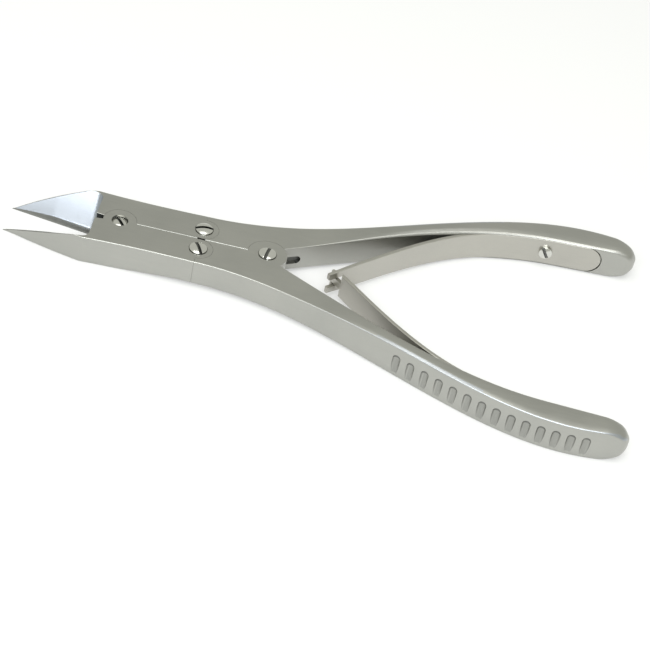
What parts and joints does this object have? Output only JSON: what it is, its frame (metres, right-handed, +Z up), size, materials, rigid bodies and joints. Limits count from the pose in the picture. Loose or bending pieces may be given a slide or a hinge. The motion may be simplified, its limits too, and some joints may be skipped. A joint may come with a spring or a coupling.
{
  "type": "double-action cutting pliers",
  "caption": "Steel double-action cutting pliers with pointed bevelled jaws, compound linkage, fluted grips and interlocking leaf springs.",
  "frame": {"origin": "jaw pivot axis, in the plane the pliers rest on", "axes": "+X along the tool towards the grips, +Y across it towards the upper handle, +Z up along the pivot axes"},
  "size_m": [0.191, 0.0926, 0.0106],
  "materials": {
    "satin_steel": "satin, fine brushed",
    "polished_steel": "bright polished",
    "spring_steel": "satin, smooth"
  },
  "bodies": {
    "lower_handle": {"lower_handle": "satin_steel", "lower_link_screw": "polished_steel", "lower_spring_screw": "polished_steel"},
    "upper_handle": {"upper_handle": "satin_steel", "upper_link_screw": "polished_steel", "handle_pivot_screw": "polished_steel", "upper_spring_screw": "polished_steel"},
    "lower_jaw": {"lower_jaw": "satin_steel"},
    "upper_jaw": {"upper_jaw": "satin_steel", "jaw_pivot_screw": "polished_steel"},
    "lower_spring": {"lower_spring": "spring_steel"},
    "upper_spring": {"upper_spring": "spring_steel"}
  },
  "joints": [
    {"name": "handle_pivot", "type": "hinge", "parent": "lower_handle", "child": "upper_handle", "pos_m": [0.045, 0, 0], "axis": [0, 0, -1], "range_deg": [0, 21.8], "stiffness_Nm_per_rad": 1.2, "springref_deg": -6.88},
    {"name": "lower_link", "type": "hinge", "parent": "lower_handle", "child": "lower_jaw", "pos_m": [0.0248, -0.0047, 0], "axis": [0, 0, -1], "range_deg": [0, 19.75]},
    {"name": "jaw_pivot", "type": "hinge", "parent": "lower_jaw", "child": "upper_jaw", "pos_m": [0, 0, 0], "axis": [0, 0, 1], "range_deg": [0, 17.65]},
    {"name": "upper_leaf_bend", "type": "hinge", "parent": "upper_handle", "child": "upper_spring", "pos_m": [0.107, 0.0317, 0], "axis": [0, 0, -1], "range_deg": [0, 5.6], "deforming": ["upper_spring"]},
    {"name": "lower_leaf_bend", "type": "hinge", "parent": "lower_handle", "child": "lower_spring", "pos_m": [0.107, -0.0317, 0], "axis": [0, 0, 1], "range_deg": [0, 5.6], "deforming": ["lower_spring"]}
  ],
  "couplings": [
    {"joint": "lower_link", "follows": "handle_pivot", "ratio": 0.9037},
    {"joint": "jaw_pivot", "follows": "handle_pivot", "ratio": 0.8073},
    {"joint": "upper_leaf_bend", "follows": "handle_pivot", "ratio": 0.2546},
    {"joint": "lower_leaf_bend", "follows": "handle_pivot", "ratio": 0.2546}
  ]
}
